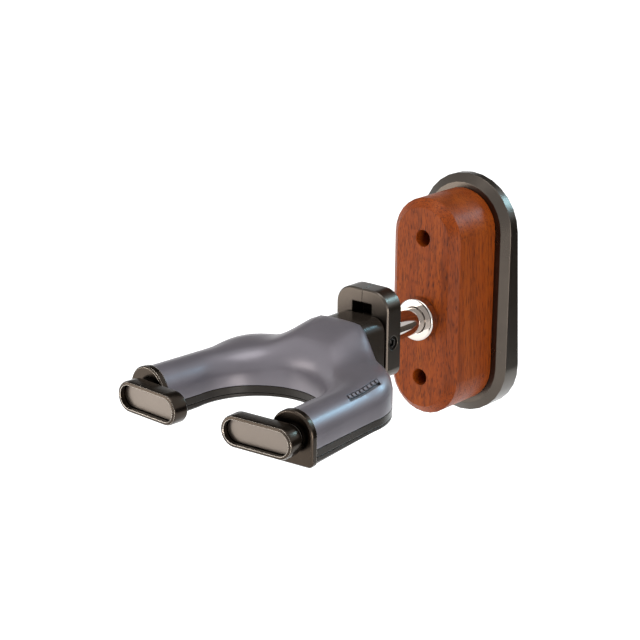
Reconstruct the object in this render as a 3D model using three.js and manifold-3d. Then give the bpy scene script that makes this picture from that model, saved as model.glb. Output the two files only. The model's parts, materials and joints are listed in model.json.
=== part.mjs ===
// Wall guitar hanger: a wooden block on a metal wall plate carries a chromed rod, and a slotted
// bracket on the rod carries a yoke. The yoke slides a few millimetres up and down in the bracket,
// and this travel swings two gates across the ends of the yoke's arms.
//
// Millimetres, +Z up, +Y into the wall. The origin is on the wall, behind the middle of the block.
// Everything is modelled in the head's frame, whose origin is the middle of the block's front face
// and which is tipped up from the wall by `headTilt`.
import * as THREE from "three";
import { mergeVertices } from "three/addons/utils/BufferGeometryUtils.js";
import Module from "manifold-3d";

const wasm = await Module();
wasm.setup();

// ---------------------------------------------------------------- driving dimensions
const degree = Math.PI / 180;
const headTilt = 4 * degree;
const gap = 0.3; // between two pieces that lie face to face
const fit = 0.2; // radial clearance of a round piece in its bore

const block = { width: 37.4, height: 104, depth: 31, bevelIn: 4, bevelDeep: 3.7 };
const plate = { width: 51, height: 117, thickness: 11, bevelIn: 4, bevelDeep: 2.7 };
const wallHole = { spacing: 67.2, headRadius: 4, shankRadius: 2.6, headDepth: 21 };
const plateScrew = { height: 21, radius: 1.9, headRadius: 3.8, headDepth: 2.4, grip: 12, sunk: 1.2 };

const axisZ = -4.5; // height of the rod's axis over the block's middle
const rod = { radius: 6.1, spigotRadius: 3.6, headRadius: 5.2, headThickness: 1.2, endChamfer: 0.7 };
const collar = { radius: 10.1, thickness: 4.8, edge: 0.5 };
const nut = { flats: 18, thickness: 6, washerRadius: 11.5, washerThickness: 1.8 };

const bracket = {
  width: 29.3,
  top: 19.3,
  bottom: -21,
  front: -44.4,
  thickness: 10.2,
  topCorner: 8.6,
  bottomCorner: 5,
  edge: 0.7,
  rearWall: 1.8,
};
const slot = { halfWidth: 5.6, top: 13.1, bottom: -18.6 };
const sideScrew = {
  y: -40.2,
  z: -4,
  shankRadius: 1.3,
  headRadius: 3.1,
  headDepth: 3.4,
  sunk: 0.5,
  hex: 3.6,
  hexDepth: 1.8,
  farWall: 2, // left of the bracket beyond the screw's tip
};
const dowel = { z: 16.3, radius: 1.1, length: 14 };

const travel = 6.5; // of the yoke in the bracket
const tongue = { halfWidth: 5.3, top: slot.top - travel - 0.4, bottom: -12.6, rear: -37.9 };
const spring = { radius: 2.1, wire: 0.35, turns: 4 };

const neck = { halfWidth: 13.6, top: 8, corner: 6.4, rear: -45, root: -64 };
const splay = 4 * degree; // of each arm, with its shaft and gate, from the middle
const bow = { radius: 29.6, centreY: -116.4 };
const shoulder = {
  radius: 30,
  gableSlope: 27 * degree,
  gableY: -50.2,
  apexY: -57.8,
  outerX: 46.8, // a point on the arm's outer line
  outerY: -81.6,
};
const tipY = -136; // front ends of the yoke's shells, at the middle of each arm
const cover = {
  wall: 1.6,
  bottom: -17.3,
  armTop: -2.9,
  shoulderTop: -0.5,
  neckTop: 8.7,
  edge: 9.6,
  rearEdge: 1.4,
};
const coverRise = {
  shoulderFrom: -100, // along the arms, up to the shoulders
  shoulderTo: -76,
  neckFrom: -98, // from the shoulders up to the neck
  neckTo: -58,
  edgeFrom: -80, // where the rolled edge gets tighter
  edgeTo: -60,
  innerX: 10,
  outerX: 27,
};
const band = { bottom: -20.7 }; // the frame's visible belt under the cover
const coreGap = 0.9; // between the frame's core and the cover over it
const neckStep = cover.wall + gap; // by which the neck gets smaller where it runs under the cover
const tray = { bottom: -24.3, edge: 1.4, rise: 2.5 }; // its underside rises towards the neck
const traySlope = tray.rise / (shoulder.apexY - tipY);
const trayScrew = { radius: 1.3, headRadius: 2.4, headDepth: 1.6, length: 6.5, sunk: 0.3 };
const trayScrewPlaces = [
  ["rear", 22, -69],
  ["front", 40, tipY + 9],
];

const arm = { x: 40.5, gateZ: -13.3 };
const endCollar = { radius: 10.4, top: -2, bottom: -25, thickness: 3.2, corner: 2.4, edge: 0.6 };
const gate = { length: 36, height: 13.8, thickness: 8, centreX: 29.9, edge: 1.2, clearance: 0.2 };
const panel = { margin: 0.45, sunk: 2.7, thickness: 1.1 }; // at the bottom of each gate's deep recess
const shaft = { radius: 2.5, gateSeat: 3 };
const bush = { radius: 4, flangeRadius: 5.6, flangeThickness: 1.5, depth: 4, rearLength: 3.6, recess: 0.4 };

const crank = { radius: 3.25, hubRadius: 3.8, lobeRadius: 2.3, rear: -86.4, thickness: 3.2, pinRadius: 1.2 };
const rocker = {
  pivotX: 23,
  halfWidth: 2.8,
  rear: -80.4,
  thickness: 2.8,
  pinRadius: 2,
  pinDepth: 6,
  play: 1.1,
};
const blade = {
  halfThickness: 1.5,
  halfHeight: 2.2,
  bendRear: -58,
  bendFront: -70,
  crossRear: -77.4,
  crossThickness: 2,
  pinRadius: 1.3,
};
const linkPlay = 0.4; // of the blade's and cranks' pins in the rockers' slots
const chamber = {
  top: -4.6,
  rear: -79.8,
  crossRear: -76.6,
  front: -91.5,
  middle: -83.9,
  crankIn: 7.5, // room on either side of each shaft
  crankOut: 5,
};
const gripStrip = {
  length: 22,
  seatWidth: 2.8,
  width: 1.7,
  depth: 1,
  ribs: 8,
  ribInset: 0.25,
  lean: 38 * degree,
  centreY: -97,
};

const bracketRear = bracket.front + bracket.thickness;
const collarFront = -gap - collar.thickness;
const bandTop = cover.bottom - gap;
const trayTop = band.bottom - gap;
const armTipFront = tipY - gap - endCollar.thickness;
const flangeFront = armTipFront - gap - bush.flangeThickness;
const gateRear = flangeFront - gate.clearance;
const gateFront = gateRear - gate.thickness;

// An arm's shaft leans inwards behind the tip, so the crank stands nearer the middle.
const shaftX = (y) => arm.x + (armTipFront - y) * Math.tan(splay);
const crankDrop = crank.radius * Math.SQRT1_2; // the crank's pin stands inward and down by this
const crankPinX = shaftX(rocker.rear) - crankDrop;
const rockerAngle = Math.atan2(crankDrop, crankPinX - rocker.pivotX); // each way from level
const bladePinX = rocker.pivotX - travel / 2 / Math.tan(rockerAngle);
const bladePinZ = arm.gateZ + travel / 2;
const crossHalfWidth = bladePinX + blade.pinRadius + 1;
const rearBushRear = chamber.front - bush.recess;
const rearBushFront = rearBushRear - bush.rearLength;

// Turns what is modelled straight along Y on the right or left arm into line with that arm.
function armTurn(side) {
  const pivot = new THREE.Vector3(side * arm.x, armTipFront, 0);
  const turn = new THREE.Matrix4().makeTranslation(pivot);
  turn.multiply(new THREE.Matrix4().makeRotationZ(side * splay));
  return turn.multiply(new THREE.Matrix4().makeTranslation(pivot.negate()));
}

// ---------------------------------------------------------------- solids
function solid(geometry) {
  const bare = geometry.index ? geometry.toNonIndexed() : geometry.clone();
  bare.deleteAttribute("normal");
  bare.deleteAttribute("uv");
  const merged = mergeVertices(bare, 1e-4);
  const mesh = new wasm.Mesh({
    numProp: 3,
    vertProperties: merged.attributes.position.array,
    triVerts: new Uint32Array(merged.index.array),
  });
  return new wasm.Manifold(mesh);
}

function geometryOf(made) {
  const mesh = made.getMesh();
  const positions = new Float32Array(mesh.numVert * 3);
  for (let i = 0; i < mesh.numVert; i++) {
    const start = i * mesh.numProp;
    positions.set(mesh.vertProperties.subarray(start, start + 3), i * 3);
  }
  const geometry = new THREE.BufferGeometry();
  geometry.setAttribute("position", new THREE.BufferAttribute(positions, 3));
  geometry.setIndex(new THREE.BufferAttribute(new Uint32Array(mesh.triVerts), 1));
  geometry.computeVertexNormals();
  return geometry;
}

const placed = (made, matrix) => solid(geometryOf(made).applyMatrix4(matrix));
const join = (first, ...others) => others.reduce((made, other) => made.add(other), first);
const cut = (first, ...others) => others.reduce((made, other) => made.subtract(other), first);

// A closed skin over rows of points: each row is a loop of [x, y, z] of the same length, and the
// first and last rows are capped. Rows run so that the faces point out.
function skin(rows) {
  const count = rows[0].length;
  const positions = rows.flat().flat();
  const index = [];
  for (let r = 0; r + 1 < rows.length; r++) {
    for (let i = 0; i < count; i++) {
      const a = r * count + i;
      const b = r * count + ((i + 1) % count);
      index.push(a, b, a + count, b, b + count, a + count);
    }
  }
  const lastStart = (rows.length - 1) * count;
  capOf(rows[0]).forEach(([a, b, c]) => index.push(a, c, b));
  capOf(rows[rows.length - 1]).forEach(([a, b, c]) => {
    index.push(lastStart + a, lastStart + b, lastStart + c);
  });
  const geometry = new THREE.BufferGeometry();
  geometry.setAttribute("position", new THREE.Float32BufferAttribute(positions, 3));
  geometry.setIndex(index);
  return outward(solid(geometry), geometry);
}

// Triangles over one flat row, in the row's own turning sense.
function capOf(row) {
  const normal = new THREE.Vector3();
  row.forEach((p, i) => {
    const q = row[(i + 1) % row.length];
    normal.x += (p[1] - q[1]) * (p[2] + q[2]);
    normal.y += (p[2] - q[2]) * (p[0] + q[0]);
    normal.z += (p[0] - q[0]) * (p[1] + q[1]);
  });
  normal.normalize();
  const side = Math.abs(normal.y) > 0.9 ? new THREE.Vector3(1, 0, 0) : new THREE.Vector3(0, 1, 0);
  const u = side.clone().cross(normal).normalize();
  const v = normal.clone().cross(u);
  const flat = row.map((p) => {
    const point = new THREE.Vector3(...p);
    return new THREE.Vector2(point.dot(u), point.dot(v));
  });
  return THREE.ShapeUtils.triangulateShape(flat, []);
}

// The same skin with its faces turned round when they point in.
function outward(made, geometry) {
  if (made.volume() > 0) return made;
  const turned = geometry.clone();
  const index = turned.index.array;
  for (let i = 0; i < index.length; i += 3) {
    [index[i + 1], index[i + 2]] = [index[i + 2], index[i + 1]];
  }
  return solid(turned);
}

// ---------------------------------------------------------------- plain shapes in the head's frame
function box(x0, x1, y0, y1, z0, z1) {
  const geometry = new THREE.BoxGeometry(Math.abs(x1 - x0), Math.abs(y1 - y0), Math.abs(z1 - z0));
  return solid(geometry.translate((x0 + x1) / 2, (y0 + y1) / 2, (z0 + z1) / 2));
}

function rodY(radius, y0, y1, x, z, sides = 24) {
  const geometry = new THREE.CylinderGeometry(radius, radius, Math.abs(y1 - y0), sides);
  return solid(geometry.translate(x, (y0 + y1) / 2, z));
}

function rodX(radius, x0, x1, y, z, sides = 20) {
  const geometry = new THREE.CylinderGeometry(radius, radius, Math.abs(x1 - x0), sides);
  return solid(geometry.rotateZ(Math.PI / 2).translate((x0 + x1) / 2, y, z));
}

function rodZ(radius, z0, z1, x, y, sides = 24) {
  const geometry = new THREE.CylinderGeometry(radius, radius, Math.abs(z1 - z0), sides);
  return solid(geometry.rotateX(Math.PI / 2).translate(x, y, (z0 + z1) / 2));
}

// A ring or disc about an axis along Y, from its half profile of [radius, y] points.
function turnedY(profile, x, z, sides = 40) {
  const points = [...profile, profile[0]].map(([r, y]) => new THREE.Vector2(r, y));
  const made = new THREE.LatheGeometry(points, sides).translate(x, 0, z);
  return outward(solid(made), mergeVertices(made.deleteAttribute("normal").deleteAttribute("uv"), 1e-4));
}

// An upright outline of [x, z] points pushed along Y.
function slabY(outline, y0, y1) {
  const row = (y) => outline.map(([x, z]) => [x, y, z]);
  return skin([row(y0), row(y1)]);
}

function arc(cx, cz, radius, from, to, steps) {
  return Array.from({ length: steps + 1 }, (_, i) => {
    const angle = from + ((to - from) * i) / steps;
    return [cx + radius * Math.cos(angle), cz + radius * Math.sin(angle)];
  });
}

// A rounded rectangle of [x, z] points: one radius for the two upper corners, one for the lower.
function roundedPanel(width, top, bottom, topRadius, bottomRadius, steps = 8) {
  const w = width / 2;
  const quarter = Math.PI / 2;
  return [
    ...arc(w - topRadius, top - topRadius, topRadius, 0, quarter, steps),
    ...arc(-w + topRadius, top - topRadius, topRadius, quarter, 2 * quarter, steps),
    ...arc(-w + bottomRadius, bottom + bottomRadius, bottomRadius, 2 * quarter, 3 * quarter, steps),
    ...arc(w - bottomRadius, bottom + bottomRadius, bottomRadius, 3 * quarter, 4 * quarter, steps),
  ];
}

// A stadium of [x, z] points about the origin, long in Z unless it is wider than it is high.
function stadium(width, height, steps = 14) {
  const radius = Math.min(width, height) / 2;
  const straight = Math.abs(height - width) / 2;
  const upper = arc(0, straight, radius, 0, Math.PI, steps);
  const lower = arc(0, -straight, radius, Math.PI, 2 * Math.PI, steps);
  const upright = [...upper, ...lower];
  return height >= width ? upright : upright.map(([x, z]) => [-z, x]);
}

const moved = (outline, dx, dz) => outline.map(([x, z]) => [x + dx, z + dz]);
const rowAt = (outline, y) => outline.map(([x, z]) => [x, y, z]);

// ---------------------------------------------------------------- wall mount
function wallHoles(shankFrom, shankTo, withHead) {
  return [-1, 1].map((side) => {
    const z = (side * wallHole.spacing) / 2;
    const shank = rodY(wallHole.shankRadius, shankFrom, shankTo, 0, z);
    return withHead ? join(shank, rodY(wallHole.headRadius, -1, wallHole.headDepth, 0, z)) : shank;
  });
}

const plateScrewSides = [
  ["upper", 1],
  ["lower", -1],
];
const nutSeat = block.depth - nut.thickness - nut.washerThickness - 3 * gap;

function woodBlock() {
  const body = skin([
    rowAt(stadium(block.width, block.height), block.depth),
    rowAt(stadium(block.width, block.height), block.bevelDeep),
    rowAt(stadium(block.width - 2 * block.bevelIn, block.height - 2 * block.bevelIn), 0),
  ]);
  const bore = rodY(rod.radius + fit, -1, block.depth + 1, 0, axisZ);
  const pocket = rodY(nut.washerRadius + 2 * fit, nutSeat, block.depth + 1, 0, axisZ);
  const screwBores = plateScrewSides.map(([, side]) => {
    const z = side * plateScrew.height;
    return rodY(plateScrew.radius + fit, block.depth - plateScrew.grip - gap, block.depth + 1, 0, z, 20);
  });
  return cut(body, bore, pocket, ...screwBores, ...wallHoles(-1, block.depth + 1, true));
}

// A wedge: its front lies along the block and its rear lies along the wall.
function wallPlate() {
  const front = block.depth + gap;
  const rear = block.depth + 2.5 * plate.thickness;
  const body = skin([
    rowAt(stadium(plate.width, plate.height), rear),
    rowAt(stadium(plate.width, plate.height), front + plate.bevelDeep),
    rowAt(stadium(plate.width - 2 * plate.bevelIn, plate.height - 2 * plate.bevelIn), front),
  ]);
  const screwSeats = plateScrewSides.map(([, side]) => plateScrewSolid(side, fit, 20));
  const beyondWall = wallSide();
  return cut(body, beyondWall, ...wallHoles(front - 1, rear + 1, false), ...screwSeats);
}

// All that lies behind the wall's surface, in the head's frame.
function wallSide() {
  const size = 2 * plate.height;
  const geometry = new THREE.BoxGeometry(size, size, size).translate(0, size / 2, 0);
  return solid(geometry.rotateX(headTilt).translate(0, block.depth + plate.thickness, 0));
}

// How deep the plate is at a height, so that a screw's head ends under the wall's surface.
const plateRearAt = (z) => block.depth + plate.thickness - z * Math.tan(headTilt);

function plateScrewSolid(side, grow, sides = 20) {
  const z = side * plateScrew.height;
  const tip = block.depth - plateScrew.grip;
  const headRear = plateRearAt(z) - plateScrew.sunk;
  const headFront = headRear - plateScrew.headDepth - grow;
  const open = grow ? headRear + 2 * plateScrew.sunk : headRear; // a seat runs out of the plate
  return join(
    rodY(plateScrew.radius + grow, tip, open, 0, z, sides),
    rodY(plateScrew.headRadius + grow, headFront, open, 0, z, sides),
  );
}

const rodHeadRear = bracketRear - bracket.rearWall - gap;
const nutRear = nutSeat + 2 * gap + nut.washerThickness + nut.thickness;

function mountingRod() {
  const shoulderY = bracketRear + gap;
  const end = nutRear + gap;
  return turnedY(
    [
      [0, end],
      [rod.radius - rod.endChamfer, end],
      [rod.radius, end - rod.endChamfer],
      [rod.radius, shoulderY],
      [rod.spigotRadius, shoulderY],
      [rod.spigotRadius, rodHeadRear],
      [rod.headRadius, rodHeadRear],
      [rod.headRadius, rodHeadRear - rod.headThickness],
      [0, rodHeadRear - rod.headThickness],
    ],
    0,
    axisZ,
  );
}

function frontCollar() {
  const e = collar.edge;
  return turnedY(
    [
      [rod.radius + fit, -gap],
      [collar.radius, -gap],
      [collar.radius, collarFront + e],
      [collar.radius - e, collarFront],
      [rod.radius + fit, collarFront],
    ],
    0,
    axisZ,
  );
}

function rearWasher() {
  const disc = rodY(nut.washerRadius, nutSeat + gap, nutSeat + gap + nut.washerThickness, 0, axisZ, 40);
  return cut(disc, rodY(rod.radius + fit, nutSeat - 1, block.depth, 0, axisZ));
}

function rearNut() {
  const start = nutSeat + 2 * gap + nut.washerThickness;
  const across = nut.flats / 2 / Math.cos(Math.PI / 6);
  const hex = rodY(across, start, start + nut.thickness, 0, axisZ, 6);
  return cut(hex, rodY(rod.radius + fit, start - 1, start + nut.thickness + 1, 0, axisZ));
}

// ---------------------------------------------------------------- bracket
function bracketBody() {
  const outline = (inset) =>
    roundedPanel(
      bracket.width - 2 * inset,
      bracket.top - inset,
      bracket.bottom + inset,
      bracket.topCorner - inset,
      bracket.bottomCorner - inset,
    );
  const body = skin([
    rowAt(outline(bracket.edge), bracketRear),
    rowAt(outline(0), bracketRear - bracket.edge),
    rowAt(outline(0), bracket.front + bracket.edge),
    rowAt(outline(bracket.edge), bracket.front),
  ]);
  const channelRear = bracketRear - bracket.rearWall;
  const channel = box(-slot.halfWidth, slot.halfWidth, bracket.front - 1, channelRear, slot.bottom, slot.top);
  const bore = rodY(rod.spigotRadius + fit, channelRear - 1, bracketRear + 1, 0, axisZ);
  return cut(body, channel, bore, sideScrewBore(), dowelSolid(fit));
}

function sideScrewBore() {
  const edgeX = bracket.width / 2;
  return join(
    rodX(sideScrew.shankRadius + fit, -edgeX + sideScrew.farWall, edgeX + 1, sideScrew.y, sideScrew.z),
    rodX(sideScrew.headRadius + fit, edgeX - sideScrew.headDepth - fit, edgeX + 1, sideScrew.y, sideScrew.z),
  );
}

function bracketHalf(side) {
  const reach = bracket.width;
  const keep = box(side * 0.1, side * reach, bracket.front - 1, bracketRear + 1, -reach, reach);
  return bracketBody().intersect(keep);
}

function sideScrewSolid() {
  const { y, z, shankRadius, headRadius, headDepth, hex, hexDepth } = sideScrew;
  const edgeX = bracket.width / 2;
  const headEnd = edgeX - sideScrew.sunk;
  const shank = rodX(shankRadius, -edgeX + sideScrew.farWall + 2 * fit, headEnd - hexDepth, y, z);
  const head = rodX(headRadius, edgeX - headDepth, headEnd, y, z);
  const socket = rodX(hex / 2, headEnd - hexDepth, headEnd + 1, y, z, 6);
  return cut(join(shank, head), socket);
}

function dowelSolid(grow) {
  const half = dowel.length / 2 + grow;
  return rodX(dowel.radius + grow, -half, half, (bracket.front + bracketRear) / 2, dowel.z, 16);
}

// ---------------------------------------------------------------- the yoke's plan
// Points of [x, y] on the right half, from the middle to the arm's tip, moved in from the outline.
function innerEdge(inset, endY, detail) {
  const radius = bow.radius + inset;
  const points = arc(0, bow.centreY, radius, Math.PI / 2, -splay, detail.bow);
  return [...points, ...armLine(points[points.length - 1], endY, detail.arm)];
}

// From a point down the arm to its end, which is square to the arm.
function armLine([x, y], endY, steps) {
  const slope = Math.tan(splay);
  const length = (y - endY - (x - arm.x) * slope) / (1 + slope * slope);
  return Array.from({ length: steps }, (_, i) => {
    const down = (length * (i + 1)) / steps;
    return [x + down * slope, y - down];
  });
}

function outerEdge(inset, endY, detail) {
  const { radius, gableSlope, gableY, apexY, outerX, outerY } = shoulder;
  const rise = gableY - apexY;
  const apexRadius = (rise * Math.cos(gableSlope)) / (1 - Math.cos(gableSlope));
  const quarter = Math.PI / 2;
  const apexCentreY = apexY - apexRadius;
  // The shoulder's arc touches the sloped gable line and the arm's outer line.
  const armSlope = Math.tan(splay);
  const side = outerX + armSlope * outerY;
  const gableBack = gableY - radius / Math.cos(gableSlope);
  const armBack = side - radius / Math.cos(splay);
  const centreX = (armBack - armSlope * gableBack) / (1 - armSlope * Math.tan(gableSlope));
  const centreY = gableBack - Math.tan(gableSlope) * centreX;
  const apexArc = arc(0, apexCentreY, apexRadius - inset, quarter, quarter - gableSlope, 5);
  const shoulderArc = arc(centreX, centreY, radius - inset, quarter - gableSlope, -splay, 14);
  const rim = resample([...apexArc, ...shoulderArc], detail.bow);
  return [...rim, ...armLine(rim[rim.length - 1], endY, detail.arm)];
}

// The same polyline with equally spaced points.
function resample(points, steps) {
  const lengths = [0];
  for (let i = 1; i < points.length; i++) {
    const [a, b] = [points[i - 1], points[i]];
    lengths.push(lengths[i - 1] + Math.hypot(b[0] - a[0], b[1] - a[1]));
  }
  const total = lengths[lengths.length - 1];
  return Array.from({ length: steps + 1 }, (_, i) => {
    const wanted = (total * i) / steps;
    const k = Math.max(1, lengths.findIndex((l) => l >= wanted - 1e-9));
    const t = (wanted - lengths[k - 1]) / (lengths[k] - lengths[k - 1]);
    const [a, b] = [points[k - 1], points[k]];
    return [a[0] + (b[0] - a[0]) * t, a[1] + (b[1] - a[1]) * t];
  });
}

// How finely a body over the plan is divided: round the bow, along an arm and across it.
const fine = { bow: 18, arm: 3, across: 10 };
const coarse = { bow: 10, arm: 1, across: 7 };

function distanceTo(edge, x, y) {
  let best = Infinity;
  for (let i = 1; i < edge.length; i++) {
    const [ax, ay] = edge[i - 1];
    const [bx, by] = edge[i];
    const [dx, dy] = [bx - ax, by - ay];
    const t = Math.min(1, Math.max(0, ((x - ax) * dx + (y - ay) * dy) / (dx * dx + dy * dy)));
    best = Math.min(best, Math.hypot(x - ax - t * dx, y - ay - t * dy));
  }
  return best;
}

// The whole edge from the left tip to the right tip, from its right half.
function bothSides(edge) {
  const left = edge.slice(1).map(([x, y]) => [-x, y]);
  return [...left.reverse(), ...edge];
}

// A body over the yoke's plan with a flat floor. `top` gives a height from x, y and the distance to
// the outline. The plan is cut square at `endY`.
function yokeBody(inset, endY, top, floor, detail) {
  const inner = bothSides(innerEdge(inset, endY, detail));
  const outer = bothSides(outerEdge(inset, endY, detail));
  const rows = inner.map(([ix, iy], s) => {
    const [ox, oy] = outer[s];
    const upper = Array.from({ length: detail.across + 1 }, (_, j) => {
      const t = (1 - Math.cos((Math.PI * j) / detail.across)) / 2;
      const [x, y] = [ix + (ox - ix) * t, iy + (oy - iy) * t];
      const distance = Math.min(distanceTo(inner, x, y), distanceTo(outer, x, y));
      return [x, y, top(x, y, distance)];
    });
    return [...upper, [ox, oy, floor], [ix, iy, floor]];
  });
  return skin(rows);
}

// A plate over the yoke's plan, from its levels of [height, inset, slope along the arms].
function yokePlate(levels) {
  return skin(
    levels.map(([z, inset, slope]) => {
      const inner = bothSides(innerEdge(inset, tipY, fine));
      const outer = bothSides(outerEdge(inset, tipY, fine));
      return [...inner, ...outer.reverse()].map(([x, y]) => [x, y, z + slope * (y - tipY)]);
    }),
  );
}

function smooth(value, from, to) {
  const t = Math.min(1, Math.max(0, (value - from) / (to - from)));
  return t * t * (3 - 2 * t);
}

// Height of the cover's outside: low along the arms, rising to the neck, with rolled edges.
function coverTop(lowered) {
  return (x, y, distance) => {
    const { shoulderFrom, shoulderTo, neckFrom, neckTo, edgeFrom, edgeTo, innerX, outerX } = coverRise;
    const along = cover.armTop + (cover.shoulderTop - cover.armTop) * smooth(y, shoulderFrom, shoulderTo);
    const inNeck = 1 - smooth(Math.abs(x), innerX, outerX);
    const rise = (cover.neckTop - cover.shoulderTop) * smooth(y, neckFrom, neckTo) * inNeck;
    const nearNeck = smooth(y, edgeFrom, edgeTo) * inNeck;
    const radius = cover.edge + (cover.rearEdge - cover.edge) * nearNeck;
    const roll = Math.max(0.3, radius - lowered);
    const inside = Math.max(0, roll - distance);
    return along + rise - lowered - roll + Math.sqrt(Math.max(0, roll * roll - inside * inside));
  };
}

// ---------------------------------------------------------------- yoke
function neckBar(grow, rear, front) {
  const outline = roundedPanel(
    2 * (neck.halfWidth + grow),
    neck.top + grow,
    band.bottom,
    neck.corner + grow,
    0.6,
    6,
  );
  return slabY(outline, rear, front);
}

function yokeCover() {
  const outside = yokeBody(0, tipY, coverTop(0), cover.bottom, fine);
  const inside = yokeBody(cover.wall, tipY - 2, coverTop(cover.wall), cover.bottom - 2, coarse);
  const opening = neckBar(gap - neckStep, neck.rear + 2, neck.root - 1);
  return cut(outside, inside, opening, gripSeat(fit));
}

// The frame fills the cover, shows as a belt under it, and ends in the neck and its tongue.
function yokeFrame() {
  const lowered = cover.wall + coreGap;
  const core = yokeBody(lowered, tipY, coverTop(lowered), bandTop - 1, coarse);
  const belt = yokePlate([
    [band.bottom, 0, 0],
    [bandTop, 0, 0],
  ]);
  const key = box(-tongue.halfWidth, tongue.halfWidth, tongue.rear, neck.rear - 2, tongue.bottom, tongue.top);
  const beyondCover = yokeBody(-gap, tipY, coverTop(-gap), cover.bottom - gap, fine);
  const shownNeck = cut(neckBar(0, neck.rear, neck.root), beyondCover);
  const body = join(core, belt, shownNeck, neckBar(-neckStep, neck.rear, neck.root), key);
  return cut(body, ...frameHollows());
}

function frameHollows() {
  const floor = band.bottom - 1;
  const reach = crankPinX + rocker.play + rocker.halfWidth + 2 * gap;
  const hubX = shaftX(chamber.front);
  const shared = [
    box(-reach, reach, chamber.middle, chamber.rear, floor, chamber.top),
    box(-crossHalfWidth - 2, crossHalfWidth + 2, chamber.rear - 1, chamber.crossRear, floor, chamber.top),
    bladeRoom(),
    pinRoom(),
  ];
  const perSide = [-1, 1].flatMap((side) => {
    const along = (radius, y0, y1) => placed(rodY(radius, y0, y1, side * arm.x, arm.gateZ), armTurn(side));
    const [near, far] = [side * (hubX - chamber.crankIn), side * (hubX + chamber.crankOut)];
    const pinFront = chamber.rear + rocker.pinDepth + fit;
    return [
      box(near, far, chamber.front, chamber.middle + 1, floor, chamber.top),
      along(shaft.radius + fit, tipY - 1, chamber.front + 1),
      along(bush.radius + fit, tipY - 2, tipY + bush.depth + fit),
      along(bush.radius + fit, rearBushFront - fit, chamber.front + 1),
      rodY(rocker.pinRadius + fit, chamber.rear - 1, pinFront, side * rocker.pivotX, arm.gateZ, 20),
      ...trayScrewPlaces.map(([, x, y]) => trayScrewSolid(side * x, y, fit)),
    ];
  });
  return [...shared, ...perSide, gripSeat(gap + fit)];
}

// The slot in the neck and the tongue in which the blade keeps its place while the yoke travels.
function bladeRoom() {
  const half = blade.halfThickness + gap;
  const top = sideScrew.z + blade.halfHeight + gap;
  const channel = box(-half, half, tongue.rear + 1, chamber.rear - 1, band.bottom - 1, top);
  const mouth = box(-half, half, tongue.rear + 1, neck.rear + 0.01, tongue.bottom - 1, top);
  return join(channel, mouth);
}

// A tall hole through the tongue for the side screw, which stays with the bracket.
function pinRoom() {
  const radius = sideScrew.shankRadius + 0.35;
  const half = tongue.halfWidth + 1;
  const low = sideScrew.z - travel - 0.2;
  const outline = [
    ...arc(0, sideScrew.z + 0.2, radius, 0, Math.PI, 8),
    ...arc(0, low, radius, Math.PI, 2 * Math.PI, 8),
  ];
  const row = (x) => outline.map(([y, z]) => [x, sideScrew.y + y, z]);
  return skin([row(-half), row(half)]);
}

function bottomTray() {
  const { bottom, edge } = tray;
  const body = yokePlate([
    [bottom, edge, traySlope],
    [bottom + edge * 0.3, edge * 0.4, traySlope],
    [bottom + edge, 0, traySlope * 0.5],
    [trayTop, 0, 0],
  ]);
  const screws = [-1, 1].flatMap((side) => {
    return trayScrewPlaces.map(([, x, y]) => trayScrewSolid(side * x, y, fit));
  });
  return cut(body, ...screws);
}

function trayScrewSolid(x, y, grow) {
  const low = tray.bottom + traySlope * (y - tipY) + trayScrew.sunk;
  const headBottom = low - (grow ? 2 : 0);
  const headTop = low + trayScrew.headDepth + grow;
  const tip = low + trayScrew.length + grow;
  return join(
    rodZ(trayScrew.headRadius + grow, headBottom, headTop, x, y, 20),
    rodZ(trayScrew.radius + grow, headBottom, tip, x, y, 16),
  );
}

function endCollarSolid(side) {
  const e = endCollar.edge;
  const outline = (inset) =>
    moved(
      roundedPanel(
        2 * (endCollar.radius - inset),
        endCollar.top - inset,
        endCollar.bottom + inset,
        endCollar.radius - inset,
        endCollar.corner - inset,
        12,
      ),
      side * arm.x,
      0,
    );
  const body = skin([
    rowAt(outline(0), tipY - gap),
    rowAt(outline(0), armTipFront + e),
    rowAt(outline(e), armTipFront),
  ]);
  return cut(body, rodY(bush.radius + fit, tipY + 1, armTipFront - 1, side * arm.x, arm.gateZ));
}

function frontBush(side) {
  return turnedY(
    [
      [shaft.radius + fit, tipY + bush.depth],
      [bush.radius, tipY + bush.depth],
      [bush.radius, armTipFront - gap],
      [bush.flangeRadius, armTipFront - gap],
      [bush.flangeRadius, flangeFront],
      [shaft.radius + fit, flangeFront],
    ],
    side * arm.x,
    arm.gateZ,
    24,
  );
}

function rearBush(side) {
  const ring = rodY(bush.radius, rearBushFront, rearBushRear, side * arm.x, arm.gateZ);
  return cut(ring, rodY(shaft.radius + fit, rearBushFront - 1, rearBushRear + 1, side * arm.x, arm.gateZ));
}

// A small ribbed strip let into the outer flank of the right arm: a bar that follows the cover's
// surface between two distances from the strip's middle, from its limits across and in depth.
function gripBar(from, to, [left, right], [low, high], steps = 1) {
  const { lean, centreY } = gripStrip;
  const edge = outerEdge(0, tipY, fine);
  const rows = Array.from({ length: steps + 1 }, (_, i) => {
    const y = centreY + from + ((to - from) * i) / steps;
    const x = shaftX(y) + cover.edge * Math.sin(lean);
    const z = coverTop(0)(x, y, distanceTo(edge, x, y));
    const corner = (across, up) => [
      x + across * Math.cos(lean) + up * Math.sin(lean),
      y,
      z - across * Math.sin(lean) + up * Math.cos(lean),
    ];
    return [corner(left, low), corner(right, low), corner(right, high), corner(left, high)];
  });
  return skin(rows);
}

function gripSeat(grow) {
  const { length, seatWidth, depth } = gripStrip;
  const [end, half, deep] = [length / 2 + grow, seatWidth / 2 + grow, depth + grow];
  return gripBar(-end, end, [-half, half], [-deep, deep], 6);
}

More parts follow.
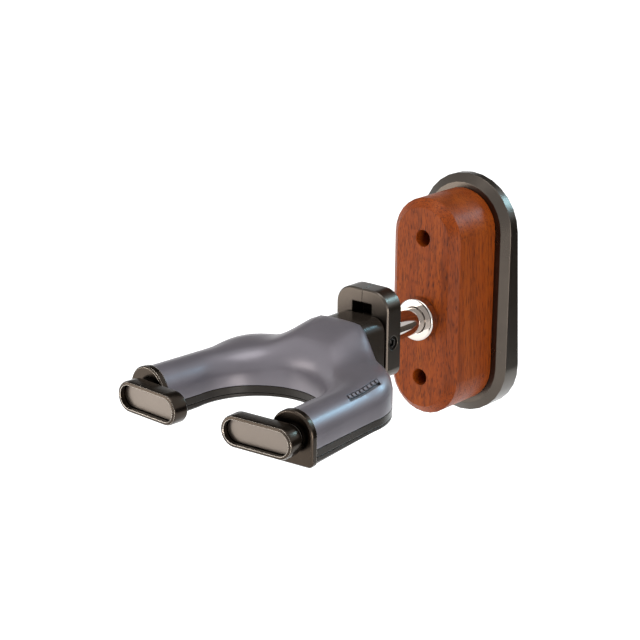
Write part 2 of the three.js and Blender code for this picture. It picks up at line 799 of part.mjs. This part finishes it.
// The strip lies against the seat's upper side, which leaves a groove along its lower side.
function gripStripSolid() {
  const { length, seatWidth, width, depth, ribs, ribInset } = gripStrip;
  const pitch = length / ribs;
  const left = -seatWidth / 2;
  const base = gripBar(-length / 2, length / 2, [left, left + width], [-depth, -depth / 2], 6);
  const bars = Array.from({ length: ribs }, (_, i) => {
    const middle = (i + 0.5) * pitch - length / 2;
    const across = [left + ribInset, left + width - ribInset];
    return gripBar(middle - pitch / 4, middle + pitch / 4, across, [-0.75 * depth, 0.25 * depth]);
  });
  return join(base, ...bars);
}

// A coil spring standing between the bracket's floor and the tongue.
function liftSpring() {
  const low = slot.bottom + gap + spring.wire;
  const high = tongue.bottom - gap - spring.wire;
  const steps = spring.turns * 12;
  const points = Array.from({ length: steps + 1 }, (_, i) => {
    const angle = (2 * Math.PI * spring.turns * i) / steps;
    const radius = spring.radius - spring.wire;
    const y = (tongue.rear + bracket.front) / 2;
    const z = low + ((high - low) * i) / steps;
    return new THREE.Vector3(radius * Math.cos(angle), y + radius * Math.sin(angle), z);
  });
  const section = new THREE.Shape().absarc(0, 0, spring.wire, 0, 2 * Math.PI);
  const path = new THREE.CatmullRomCurve3(points);
  const options = { steps, curveSegments: 3, bevelEnabled: false, extrudePath: path };
  const geometry = new THREE.ExtrudeGeometry(section, options);
  return solid(geometry);
}

// ---------------------------------------------------------------- gates and their drive
const panelFront = gateFront + panel.sunk;

function gateOutline(side, inset) {
  const outline = stadium(gate.length - 2 * inset, gate.height - 2 * inset, 16);
  return moved(outline, side * gate.centreX, arm.gateZ);
}

function gateSolid(side) {
  const { edge } = gate;
  const place = (inset) => gateOutline(side, inset);
  const body = skin([
    rowAt(place(edge), gateRear),
    rowAt(place(edge * 0.3), gateRear - edge * 0.3),
    rowAt(place(0), gateRear - edge),
    rowAt(place(0), gateFront + edge),
    rowAt(place(edge * 0.3), gateFront + edge * 0.3),
    rowAt(place(edge), gateFront),
  ]);
  const recess = slabY(place(edge + panel.margin), panelFront + panel.thickness + gap, gateFront - 1);
  const seatEnd = gateRear - shaft.gateSeat - fit;
  const seat = rodY(shaft.radius + fit, seatEnd, gateRear + 1, side * arm.x, arm.gateZ);
  return cut(body, recess, seat);
}

function gatePanel(side) {
  return slabY(gateOutline(side, gate.edge + panel.margin + fit), panelFront + panel.thickness, panelFront);
}

function gateShaft(side) {
  return rodY(shaft.radius, gateRear - shaft.gateSeat, crank.rear - gap, side * arm.x, arm.gateZ, 28);
}

function crankSolid(side) {
  const front = crank.rear - crank.thickness;
  const pinX = side * (arm.x - crankDrop);
  const pinZ = arm.gateZ - crankDrop;
  const hub = rodY(crank.hubRadius, front, crank.rear, side * arm.x, arm.gateZ);
  const lobe = rodY(crank.lobeRadius, front, crank.rear, pinX, pinZ);
  const bore = rodY(shaft.radius + fit, front - 1, crank.rear + 1, side * arm.x, arm.gateZ);
  const pin = rodY(crank.pinRadius, crank.rear - gap / 2, rocker.rear, pinX, pinZ, 16);
  return join(cut(join(hub, lobe), bore), pin);
}

// The rocker turns the blade's relative fall into a rise of the crank's pin.
function rockerSolid(side) {
  const { pivotX, halfWidth, rear, thickness, pinRadius, play } = rocker;
  const front = rear - thickness;
  const inner = (bladePinX - pivotX) / Math.cos(rockerAngle);
  const outer = (crankPinX - pivotX) / Math.cos(rockerAngle);
  const long = (half, from, to) => {
    const right = arc(to, 0, half, -Math.PI / 2, Math.PI / 2, 8);
    const left = arc(from, 0, half, Math.PI / 2, (3 * Math.PI) / 2, 8);
    return [...right, ...left].map(([u, v]) => {
      const x = u * Math.cos(rockerAngle) + v * Math.sin(rockerAngle);
      const z = -u * Math.sin(rockerAngle) + v * Math.cos(rockerAngle);
      return [side * (pivotX + x), arm.gateZ + z];
    });
  };
  const body = slabY(long(halfWidth, inner - play, outer + play), rear - gap, front);
  const innerSlot = slabY(long(blade.pinRadius + linkPlay, inner - play, inner + play), rear + 1, front - 1);
  const outerSlot = slabY(long(crank.pinRadius + linkPlay, outer - play, outer + play), rear + 1, front - 1);
  const bore = rodY(pinRadius + fit, rear + 1, front - 1, side * pivotX, arm.gateZ, 20);
  return cut(body, innerSlot, outerSlot, bore);
}

function rockerPin(side) {
  const front = rocker.rear - rocker.thickness - gap;
  return rodY(rocker.pinRadius, front, chamber.rear + rocker.pinDepth, side * rocker.pivotX, arm.gateZ, 20);
}

// A blade held by the side screw, with a crosshead whose two pins sit in the rockers.
function anchorBlade() {
  const { halfThickness, halfHeight, bendRear, bendFront, crossRear, pinRadius } = blade;
  const crossFront = crossRear - blade.crossThickness;
  const rear = tongue.rear - 0.1;
  const upper = [sideScrew.z + halfHeight, sideScrew.z - halfHeight];
  const lower = [bladePinZ + halfHeight, bladePinZ - halfHeight];
  const outline = [
    [rear, upper[0]],
    [bendRear, upper[0]],
    [bendFront, lower[0]],
    [crossFront, lower[0]],
    [crossFront, lower[1]],
    [bendFront, lower[1]],
    [bendRear, upper[1]],
    [rear, upper[1]],
  ];
  const row = (x) => outline.map(([y, z]) => [x, y, z]);
  const body = skin([row(-halfThickness), row(halfThickness)]);
  const cross = box(-crossHalfWidth, crossHalfWidth, crossFront, crossRear, lower[1] + gap, lower[0] - gap);
  const pins = [-1, 1].map((side) => {
    return rodY(pinRadius, crossRear - 1, rocker.rear - rocker.thickness, side * bladePinX, bladePinZ, 16);
  });
  const eye = rodX(sideScrew.shankRadius + fit, -slot.halfWidth, slot.halfWidth, sideScrew.y, sideScrew.z);
  return cut(join(body, cross, ...pins), eye);
}

// ---------------------------------------------------------------- materials and the assembly
function finish(color, roughness, metalness) {
  return new THREE.MeshStandardMaterial({ color, roughness, metalness });
}
const wood = finish(0x8e4a24, 0.45, 0);
const gunmetal = finish(0x32302b, 0.35, 0.8);
const blackNickel = finish(0x1c1815, 0.25, 0.8);
const satin = finish(0x78747d, 0.35, 0.7);
const blackShell = finish(0x1d1b1a, 0.3, 0.2);
const chrome = finish(0xd8d8d8, 0.08, 1);
const steel = finish(0x9a9a98, 0.35, 1);
const bushing = finish(0x26241f, 0.45, 0);

const head = new THREE.Group();
head.rotation.x = -headTilt;
head.position.set(0, -(block.depth + plate.thickness), 0).applyEuler(head.rotation);

function add(name, made, material, group = head) {
  const mesh = new THREE.Mesh(geometryOf(made), material);
  mesh.name = name;
  group.add(mesh);
}

add("wall_plate", wallPlate(), gunmetal);
add("wood_block", woodBlock(), wood);
add("mounting_rod", mountingRod(), chrome);
add("front_collar", frontCollar(), chrome);
add("rear_washer", rearWasher(), steel);
add("rear_nut", rearNut(), steel);
plateScrewSides.forEach(([name, side]) => add(`plate_screw_${name}`, plateScrewSolid(side, 0), steel));

add("bracket_left", bracketHalf(-1), gunmetal);
add("bracket_right", bracketHalf(1), gunmetal);
add("side_screw", sideScrewSolid(), blackShell);
add("bracket_dowel", dowelSolid(0), steel);
add("anchor_blade", anchorBlade(), steel);
add("lift_spring", liftSpring(), steel);

add("yoke_frame", yokeFrame(), blackShell);
add("yoke_cover", yokeCover(), satin);
add("bottom_tray", bottomTray(), blackShell);
add("grip_strip", gripStripSolid(), satin);

[
  ["left", -1],
  ["right", 1],
].forEach(([name, side]) => {
  trayScrewPlaces.forEach(([end, x, y]) => {
    add(`tray_screw_${end}_${name}`, trayScrewSolid(side * x, y, 0), steel);
  });
  add(`rocker_pin_${name}`, rockerPin(side), steel);
  add(`rocker_${name}`, rockerSolid(side), steel);
  const armGroup = new THREE.Group();
  armGroup.applyMatrix4(armTurn(side));
  head.add(armGroup);
  add(`end_collar_${name}`, endCollarSolid(side), blackNickel, armGroup);
  add(`front_bush_${name}`, frontBush(side), bushing, armGroup);
  add(`rear_bush_${name}`, rearBush(side), bushing, armGroup);
  add(`gate_${name}`, gateSolid(side), blackNickel, armGroup);
  add(`gate_panel_${name}`, gatePanel(side), gunmetal, armGroup);
  add(`gate_shaft_${name}`, gateShaft(side), steel, armGroup);
  add(`crank_${name}`, crankSolid(side), steel, armGroup);
});

const hanger = new THREE.Group();
hanger.add(head);
export default hanger;
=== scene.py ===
import json
import math

import bmesh
import bpy
from mathutils import Matrix, Vector

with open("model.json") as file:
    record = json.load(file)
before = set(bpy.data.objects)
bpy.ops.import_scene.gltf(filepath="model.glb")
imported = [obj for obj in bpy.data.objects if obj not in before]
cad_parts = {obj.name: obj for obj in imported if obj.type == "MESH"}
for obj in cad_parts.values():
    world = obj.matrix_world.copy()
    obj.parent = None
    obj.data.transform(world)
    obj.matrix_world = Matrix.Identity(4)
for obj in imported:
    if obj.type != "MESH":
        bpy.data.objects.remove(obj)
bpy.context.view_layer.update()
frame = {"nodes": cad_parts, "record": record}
nodes = frame["nodes"]

MM = 0.001
TILT = math.radians(4)  # the head is tipped up from the wall


# ------------------------------------------------------------------ shader helpers
def link(tree, out, into):
    tree.links.new(out, into)


def node(tree, kind, **values):
    made = tree.nodes.new(kind)
    for name, value in values.items():
        setattr(made, name, value)
    return made


def math_node(tree, operation, a, b=None):
    made = node(tree, "ShaderNodeMath", operation=operation)
    for socket, value in zip(made.inputs, (a, b)):
        if value is None:
            continue
        if isinstance(value, (int, float)):
            socket.default_value = value
        else:
            link(tree, value, socket)
    return made.outputs[0]


def map_range(tree, value, low, high, to_low=0.0, to_high=1.0):
    made = node(tree, "ShaderNodeMapRange")
    link(tree, value, made.inputs["Value"])
    for name, number in (("From Min", low), ("From Max", high), ("To Min", to_low), ("To Max", to_high)):
        made.inputs[name].default_value = number
    return made.outputs[0]


def ramp(tree, value, stops):
    made = node(tree, "ShaderNodeValToRGB")
    elements = made.color_ramp.elements
    while len(elements) < len(stops):
        elements.new(0.5)
    for element, (place, colour) in zip(elements, stops):
        element.position = place
        element.color = (*colour, 1)
    link(tree, value, made.inputs[0])
    return made.outputs[0]


def mix_colour(tree, factor, a, b, blend="MIX"):
    made = node(tree, "ShaderNodeMix", data_type="RGBA", blend_type=blend)
    for socket, value in ((made.inputs[0], factor), (made.inputs[6], a), (made.inputs[7], b)):
        if isinstance(value, tuple):
            socket.default_value = (*value, 1)
        elif isinstance(value, (int, float)):
            socket.default_value = value
        else:
            link(tree, value, socket)
    return made.outputs[2]


def noise(tree, vector, scale, detail=3.0, roughness=0.5):
    made = node(tree, "ShaderNodeTexNoise")
    made.inputs["Scale"].default_value = scale
    made.inputs["Detail"].default_value = detail
    made.inputs["Roughness"].default_value = roughness
    link(tree, vector, made.inputs["Vector"])
    return made.outputs["Fac"]


def bump(tree, height, strength, distance, normal=None):
    made = node(tree, "ShaderNodeBump")
    made.inputs["Strength"].default_value = strength
    made.inputs["Distance"].default_value = distance
    link(tree, height, made.inputs["Height"])
    if normal is not None:
        link(tree, normal, made.inputs["Normal"])
    return made.outputs[0]


def stretched(tree, scale, turn=(0, 0, 0)):
    place = node(tree, "ShaderNodeTexCoord")
    made = node(tree, "ShaderNodeMapping")
    made.inputs["Scale"].default_value = scale
    made.inputs["Rotation"].default_value = turn
    link(tree, place.outputs["Object"], made.inputs["Vector"])
    return made.outputs[0]


def group(name, inputs, outputs, build):
    tree = bpy.data.node_groups.new(name, "ShaderNodeTree")
    for label, default in inputs:
        socket = tree.interface.new_socket(label, in_out="INPUT", socket_type="NodeSocketFloat")
        socket.default_value = default
    for label, kind in outputs:
        tree.interface.new_socket(label, in_out="OUTPUT", socket_type=kind)
    build(tree, tree.nodes.new("NodeGroupInput"), tree.nodes.new("NodeGroupOutput"))
    return tree


def use(tree, made, **values):
    placed = tree.nodes.new("ShaderNodeGroup")
    placed.node_tree = made
    for name, value in values.items():
        placed.inputs[name.replace("_", " ")].default_value = value
    return placed


# ------------------------------------------------------------------ shared effects
def build_coating(tree, into, out):
    """Painted and moulded surfaces: cloudy gloss, faint orange peel and an edge mask for rubbed wear and
    for painted edge highlights.
    """
    place = stretched(tree, (1, 1, 1))
    cloud = noise(tree, place, 45.0, 4.0, 0.6)
    smear = noise(tree, stretched(tree, (60, 400, 60)), 1.0, 3.0)
    grain = noise(tree, place, 2600.0, 2.0)
    spread = math_node(tree, "MULTIPLY", math_node(tree, "SUBTRACT", cloud, 0.5), into.outputs["Cloud"])
    smeared = math_node(tree, "MULTIPLY", math_node(tree, "SUBTRACT", smear, 0.5), into.outputs["Smear"])
    rough = math_node(tree, "ADD", into.outputs["Gloss"], math_node(tree, "ADD", spread, smeared))
    edge = node(tree, "ShaderNodeBevel", samples=6)
    link(tree, into.outputs["Edge"], edge.inputs["Radius"])
    flat = node(tree, "ShaderNodeNewGeometry")
    bend = node(tree, "ShaderNodeVectorMath", operation="DOT_PRODUCT")
    link(tree, edge.outputs[0], bend.inputs[0])
    link(tree, flat.outputs["Normal"], bend.inputs[1])
    sharp = math_node(tree, "SUBTRACT", into.outputs["Keen"], bend.outputs["Value"])
    # Edge mask: rubbed wear, and on the bright finishes a painted highlight along the edges.
    wear_and_highlight = map_range(tree, sharp, 0.0, 0.13)
    patchy = map_range(tree, noise(tree, place, 320.0, 4.0, 0.7), 0.38, 0.62)
    whole = math_node(tree, "SUBTRACT", 1.0, into.outputs["Patchy"])
    kept = math_node(tree, "ADD", whole, math_node(tree, "MULTIPLY", patchy, into.outputs["Patchy"]))
    link(tree, math_node(tree, "MULTIPLY", wear_and_highlight, kept), out.inputs["Wear And Highlight"])
    link(tree, rough, out.inputs["Roughness"])
    peel = bump(tree, grain, 0.12, 0.03 * MM, edge.outputs[0])
    link(tree, peel, out.inputs["Normal"])
    link(tree, cloud, out.inputs["Cloud"])


coating = group(
    "coating",
    [("Gloss", 0.3), ("Cloud", 0.1), ("Smear", 0.05), ("Edge", 0.4 * MM), ("Keen", 0.995), ("Patchy", 1.0)],
    [
        ("Roughness", "NodeSocketFloat"),
        ("Wear And Highlight", "NodeSocketFloat"),
        ("Cloud", "NodeSocketFloat"),
        ("Normal", "NodeSocketVector"),
    ],
    build_coating,
)


def material(name):
    made = bpy.data.materials.new(name)
    made.use_nodes = True
    tree = made.node_tree
    shader = tree.nodes["Principled BSDF"]
    return made, tree, shader


def coated(
    name,
    colour,
    wear_and_highlight,
    gloss,
    cloud,
    smear,
    edge,
    wear_and_highlight_amount=0.5,
    shade=0.15,
    keen=0.995,
    patchy=1.0,
    painted_shade_reach=0.0,
    **sockets,
):
    """A coated metal or moulded surface: `colour` clouded by `shade`, and a second colour along its edges
    that stands for rubbed wear and, where it is bright, for a painted edge highlight.

    A lower `keen` marks only the sharpest edges, and a lower `patchy` marks them evenly.
    `cloud` and `smear` vary the roughness `gloss`. Grooves and seams narrower than the given reach get
    painted shade, a near-black darkening from ambient occlusion.
    Lengths are in metres, and the other names are the shader's own sockets."""
    made, tree, shader = material(name)
    inputs = {"Gloss": gloss, "Cloud": cloud, "Smear": smear, "Edge": edge, "Keen": keen, "Patchy": patchy}
    effect = use(tree, coating, **inputs)
    dark = tuple(c * (1 - shade) for c in colour)
    light = tuple(c * (1 + shade) for c in colour)
    cloudy = mix_colour(tree, map_range(tree, effect.outputs["Cloud"], 0.3, 0.7), dark, light)
    # The edge colour is rubbed wear on most finishes and a painted edge highlight where it is bright.
    wear_and_highlight_mask = math_node(tree, "MULTIPLY", effect.outputs["Wear And Highlight"], wear_and_highlight_amount)
    surface = mix_colour(tree, wear_and_highlight_mask, cloudy, wear_and_highlight)
    # Painted shade: ambient occlusion darkens grooves, recesses and seams between pieces towards
    # near-black.
    if painted_shade_reach:
        open_sky = node(tree, "ShaderNodeAmbientOcclusion", samples=8)
        open_sky.inputs["Distance"].default_value = painted_shade_reach
        painted_shade = map_range(tree, open_sky.outputs["AO"], 0.8, 0.45, 0, 0.92)
        surface = mix_colour(tree, painted_shade, surface, (0.008, 0.007, 0.006))
    link(tree, surface, shader.inputs["Base Color"])
    link(tree, effect.outputs["Roughness"], shader.inputs["Roughness"])
    link(tree, effect.outputs["Normal"], shader.inputs["Normal"])
    for label, value in sockets.items():
        shader.inputs[label.replace("_", " ")].default_value = value
    return made


gunmetal = coated(
    "dark_bronze",
    colour=(0.078, 0.066, 0.056),
    wear_and_highlight=(0.24, 0.21, 0.18),
    gloss=0.28,
    cloud=0.04,
    smear=0.03,
    edge=0.4 * MM,
    shade=0.08,
    Metallic=1.0,
)
# Gates and end collars: the near-white edge colour is a painted highlight along their rims.
black_nickel = coated(
    "black_nickel",
    colour=(0.042, 0.033, 0.026),
    wear_and_highlight=(0.95, 0.86, 0.76),
    gloss=0.22,
    cloud=0.04,
    smear=0.03,
    edge=0.7 * MM,
    wear_and_highlight_amount=1.0,
    shade=0.08,
    keen=0.95,
    patchy=0.15,
    Metallic=1.0,
)
panel_metal = coated(
    "panel_bronze",
    colour=(0.155, 0.134, 0.117),
    wear_and_highlight=(0.22, 0.2, 0.18),
    gloss=0.3,
    cloud=0.03,
    smear=0.03,
    edge=0.2 * MM,
    wear_and_highlight_amount=0.4,
    shade=0.03,
    Metallic=1.0,
)
cover_paint = coated(
    "satin_violet_grey",
    colour=(0.178, 0.165, 0.189),
    wear_and_highlight=(0.34, 0.32, 0.35),
    gloss=0.38,
    cloud=0.06,
    smear=0.04,
    edge=0.4 * MM,
    wear_and_highlight_amount=0.35,
    shade=0.06,
    # painted shade in the cover's grooves and seams
    painted_shade_reach=1.6 * MM,
    Metallic=0.45,
    Coat_Weight=0.2,
    Coat_Roughness=0.22,
)
shell_black = coated(
    "black_shell",
    colour=(0.02, 0.0155, 0.012),
    wear_and_highlight=(0.07, 0.06, 0.05),
    gloss=0.24,
    cloud=0.08,
    smear=0.06,
    edge=0.4 * MM,
    Specular_IOR_Level=0.22,
)
screw_black = coated(
    "black_oxide",
    colour=(0.05, 0.048, 0.046),
    wear_and_highlight=(0.4, 0.37, 0.34),
    gloss=0.2,
    cloud=0.08,
    smear=0.05,
    edge=0.3 * MM,
    wear_and_highlight_amount=0.8,
    Metallic=1.0,
)
bushing = coated(
    "dark_acetal",
    colour=(0.03, 0.027, 0.024),
    wear_and_highlight=(0.06, 0.055, 0.05),
    gloss=0.42,
    cloud=0.1,
    smear=0.0,
    edge=0.3 * MM,
    wear_and_highlight_amount=0.3,
)
steel = coated(
    "plain_steel",
    colour=(0.5, 0.5, 0.49),
    wear_and_highlight=(0.7, 0.7, 0.69),
    gloss=0.3,
    cloud=0.12,
    smear=0.1,
    edge=0.2 * MM,
    wear_and_highlight_amount=0.4,
    Metallic=1.0,
)
chrome = coated(
    "chrome",
    colour=(0.52, 0.48, 0.45),
    wear_and_highlight=(0.7, 0.68, 0.66),
    gloss=0.05,
    cloud=0.03,
    smear=0.02,
    edge=0.3 * MM,
    wear_and_highlight_amount=0.2,
    shade=0.02,
    Metallic=1.0,
)


def varnished_wood():
    """Reddish-brown hardwood with upright grain, short dark pores and a satin varnish."""
    made, tree, shader = material("varnished_wood")
    upright = (TILT, 0, 0)
    bands = noise(tree, stretched(tree, (150, 120, 6), upright), 1.0, 4.0, 0.6)
    rings = noise(tree, stretched(tree, (640, 1300, 10), upright), 1.0, 3.0, 0.55)
    pores = noise(tree, stretched(tree, (3600, 3600, 170), upright), 1.0, 1.0, 0.4)
    fine = noise(tree, stretched(tree, (6500, 6500, 300), upright), 1.0, 2.0, 0.5)
    ground = ramp(
        tree,
        bands,
        [(0.28, (0.2, 0.034, 0.003)), (0.5, (0.28, 0.051, 0.004)), (0.72, (0.35, 0.073, 0.007))],
    )
    streaked = mix_colour(tree, map_range(tree, rings, 0.5, 0.66, 0, 0.6), ground, (0.11, 0.022, 0.004))
    open_pore = map_range(tree, pores, 0.575, 0.64)
    hair = map_range(tree, fine, 0.55, 0.75, 0, 0.3)
    marked = math_node(tree, "MAXIMUM", open_pore, hair)
    dark = mix_colour(tree, math_node(tree, "MULTIPLY", marked, 0.85), streaked, (0.05, 0.011, 0.004))
    link(tree, dark, shader.inputs["Base Color"])
    link(tree, map_range(tree, marked, 0, 1, 0.42, 0.62), shader.inputs["Roughness"])
    edge = node(tree, "ShaderNodeBevel", samples=6)
    edge.inputs["Radius"].default_value = 0.5 * MM
    height = math_node(tree, "SUBTRACT", 1.0, marked)
    link(tree, bump(tree, height, 0.25, 0.1 * MM, edge.outputs[0]), shader.inputs["Normal"])
    shader.inputs["Specular IOR Level"].default_value = 0.12
    shader.inputs["Coat Weight"].default_value = 0.06
    shader.inputs["Coat Roughness"].default_value = 0.3
    return made


wood = varnished_wood()


# ------------------------------------------------------------------ CAD nodes and their looks
ROUNDED_FROM = math.radians(24)  # edges that turn less than this stay as they are
CREASE = math.radians(32)  # faces that meet at less than this are shaded as one
WELD_WITHIN = 0.01 * MM
ROUNDED = {  # radius of each node's machined or cast edges, in millimetres
    "wall_plate": 0.6,
    "wood_block": 0.5,
    "front_collar": 0.45,
    "bracket_left": 0.5,
    "bracket_right": 0.5,
    "end_collar_left": 0.5,
    "end_collar_right": 0.5,
    "gate_left": 0.12,
    "gate_right": 0.12,
    "gate_panel_left": 0.25,
    "gate_panel_right": 0.25,
    "side_screw": 0.2,
    "bottom_tray": 0.35,
}


def dress(name, made):
    """Gives a CAD node its finish, rounds its edges and shades its curved faces smoothly."""
    piece = nodes[name]
    piece.data.materials.clear()
    piece.data.materials.append(made)
    piece.data.polygons.foreach_set("use_smooth", [True] * len(piece.data.polygons))
    weld = piece.modifiers.new("weld", "WELD")
    weld.merge_threshold = WELD_WITHIN
    if name in ROUNDED:
        flats = piece.modifiers.new("flats", "DECIMATE")
        flats.decimate_type = "DISSOLVE"
        flats.angle_limit = math.radians(1)
        edge = piece.modifiers.new("edge", "BEVEL")
        edge.width = ROUNDED[name] * MM
        edge.segments = 3
        edge.limit_method = "ANGLE"
        edge.angle_limit = ROUNDED_FROM
        faces = piece.modifiers.new("faces", "WEIGHTED_NORMAL")
        faces.mode = "FACE_AREA"
        faces.weight = 100
        faces.keep_sharp = True
    else:
        crease = piece.modifiers.new("crease", "EDGE_SPLIT")
        crease.split_angle = CREASE
        crease.use_edge_sharp = False


FINISHES = {
    "black_nickel": black_nickel,
    "gunmetal": gunmetal,
    "gate_panel": panel_metal,
    "satin_cover": cover_paint,
    "black_shell": shell_black,
    "black_screw": screw_black,
    "wood": wood,
    "chrome": chrome,
    "steel": steel,
    "bushing": bushing,
}
for part in frame["record"]["subparts"]:
    dress(part["node"], FINISHES[part["material_slot"]])


# ------------------------------------------------------------------ room, light and camera
FLOOR_Z = -0.3
FLOOR_GLOW = 0.75  # lifts the floor to white where it is seen straight or in a reflection
ROOM_STRENGTH = 0.8


def straight_rays(tree):
    """1 where the eye, a reflection or a view through glass meets the surroundings."""
    rays = node(tree, "ShaderNodeLightPath")
    mirrored = math_node(tree, "MAXIMUM", rays.outputs["Is Camera Ray"], rays.outputs["Is Glossy Ray"])
    return math_node(tree, "MAXIMUM", mirrored, rays.outputs["Is Transmission Ray"])


def studio_floor():
    mesh = bpy.data.meshes.new("floor")
    bm = bmesh.new()
    bmesh.ops.create_grid(bm, x_segments=1, y_segments=1, size=6.0)
    bmesh.ops.translate(bm, verts=bm.verts, vec=(0, 0, FLOOR_Z))
    bm.to_mesh(mesh)
    bm.free()
    floor = bpy.data.objects.new("floor", mesh)
    bpy.context.scene.collection.objects.link(floor)
    made, tree, shader = material("pale_floor")
    shader.inputs["Base Color"].default_value = (0.8, 0.79, 0.78, 1)
    shader.inputs["Roughness"].default_value = 0.9
    glow = node(tree, "ShaderNodeEmission")
    glow.inputs["Strength"].default_value = FLOOR_GLOW
    both = node(tree, "ShaderNodeAddShader")
    link(tree, shader.outputs[0], both.inputs[0])
    link(tree, glow.outputs[0], both.inputs[1])
    pick = node(tree, "ShaderNodeMixShader")
    link(tree, straight_rays(tree), pick.inputs[0])
    link(tree, shader.outputs[0], pick.inputs[1])
    link(tree, both.outputs[0], pick.inputs[2])
    link(tree, pick.outputs[0], tree.nodes["Material Output"].inputs["Surface"])
    mesh.materials.append(made)


def studio_world():
    world = bpy.data.worlds.new("studio")
    bpy.context.scene.world = world
    world.use_nodes = True
    tree = world.node_tree
    tree.nodes.clear()
    place = node(tree, "ShaderNodeTexCoord")
    split = node(tree, "ShaderNodeSeparateXYZ")
    link(tree, place.outputs["Generated"], split.inputs[0])
    depth = math_node(tree, "MULTIPLY", split.outputs["Y"], 0.8)
    around = map_range(tree, math_node(tree, "ADD", split.outputs["X"], depth), 1.1, -1.1)
    height = map_range(tree, split.outputs["Z"], -1, 1)
    from_side = math_node(tree, "MULTIPLY", around, 0.35)
    bright = math_node(tree, "ADD", from_side, math_node(tree, "MULTIPLY", height, 0.65))
    room = ramp(
        tree,
        bright,
        [(0.25, (0.06, 0.053, 0.047)), (0.5, (0.27, 0.25, 0.235)), (0.85, (0.85, 0.84, 0.84))],
    )
    white = node(tree, "ShaderNodeBackground")
    white.inputs["Color"].default_value = (1, 1, 1, 1)
    soft = node(tree, "ShaderNodeBackground")
    link(tree, room, soft.inputs["Color"])
    soft.inputs["Strength"].default_value = ROOM_STRENGTH
    pick = node(tree, "ShaderNodeMixShader")
    link(tree, straight_rays(tree), pick.inputs[0])
    link(tree, soft.outputs[0], pick.inputs[1])
    link(tree, white.outputs[0], pick.inputs[2])
    link(tree, pick.outputs[0], node(tree, "ShaderNodeOutputWorld").inputs[0])


def black_card(name, place, aim, width, height):
    """A dark card that shows only in reflections, which gives polished metal its contrast."""
    mesh = bpy.data.meshes.new(name)
    bm = bmesh.new()
    bmesh.ops.create_grid(bm, x_segments=1, y_segments=1, size=0.5)
    bmesh.ops.scale(bm, verts=bm.verts, vec=(width, height, 1))
    turn = (Vector(aim) - Vector(place)).to_track_quat("Z", "Y").to_matrix()
    bmesh.ops.rotate(bm, verts=bm.verts, matrix=turn)
    bmesh.ops.translate(bm, verts=bm.verts, vec=place)
    bm.to_mesh(mesh)
    bm.free()
    card = bpy.data.objects.new(name, mesh)
    bpy.context.scene.collection.objects.link(card)
    made, tree, shader = material(name)
    shade = noise(tree, stretched(tree, (1, 1, 1)), 2.0)
    felt = ramp(tree, shade, [(0.3, (0.05, 0.042, 0.034)), (0.7, (0.15, 0.127, 0.104))])
    link(tree, felt, shader.inputs["Base Color"])
    shader.inputs["Roughness"].default_value = 0.9
    mesh.materials.append(made)
    card.visible_camera = False
    card.visible_diffuse = False
    card.visible_transmission = False
    card.visible_shadow = False


def softbox(name, place, aim, size, power, colour):
    lamp = bpy.data.lights.new(name, "AREA")
    lamp.shape = "RECTANGLE"
    lamp.size, lamp.size_y = size
    lamp.energy = power
    lamp.color = colour
    box = bpy.data.objects.new(name, lamp)
    bpy.context.scene.collection.objects.link(box)
    box.location = place
    box.rotation_euler = (Vector(aim) - Vector(place)).to_track_quat("-Z", "Y").to_euler()


def add_camera(azimuth, elevation, roll, distance, aim, lens):
    data = bpy.data.cameras.new("camera")
    data.lens = lens
    data.sensor_width = 36
    data.clip_start = 0.01
    view = bpy.data.objects.new("camera", data)
    bpy.context.scene.collection.objects.link(view)
    turn = Matrix.Rotation(math.radians(azimuth), 4, "Z")
    turn @= Matrix.Rotation(math.radians(90 - elevation), 4, "X")
    turn @= Matrix.Rotation(math.radians(roll), 4, "Z")
    back = turn @ Vector((0, 0, 1))
    view.matrix_world = Matrix.Translation(Vector(aim) + back * distance) @ turn
    bpy.context.scene.camera = view


studio_floor()
studio_world()
centre = (0, -0.1, 0)
WARM, NEUTRAL, COOL = (1.0, 0.94, 0.88), (1, 1, 1), (0.42, 0.8, 1.0)
softbox("front_left", (-0.95, -1.15, 0.1), centre, size=(0.9, 0.8), power=9, colour=(1.0, 0.95, 0.89))
softbox("overhead", (0.1, -0.3, 1.2), centre, size=(1.0, 0.8), power=7, colour=NEUTRAL)
softbox("right_low", (1.1, -0.6, -0.1), centre, size=(0.5, 0.5), power=7, colour=WARM)
softbox("cool_rim", (0.5, 1.0, 0.45), centre, size=(0.12, 0.4), power=4.5, colour=COOL)
black_card("card_above", (-0.5, 0.55, 0.62), centre, width=1.5, height=0.8)
black_card("card_right", (0.4, 0.4, -0.11), centre, width=0.9, height=0.36)
add_camera(
    azimuth=40.57,
    elevation=20.46,
    roll=-2.22,
    distance=0.8404,
    aim=(-0.01172, -0.10068, 0.01293),
    lens=106.54,
)

bpy.context.scene.view_settings.view_transform = "Standard"
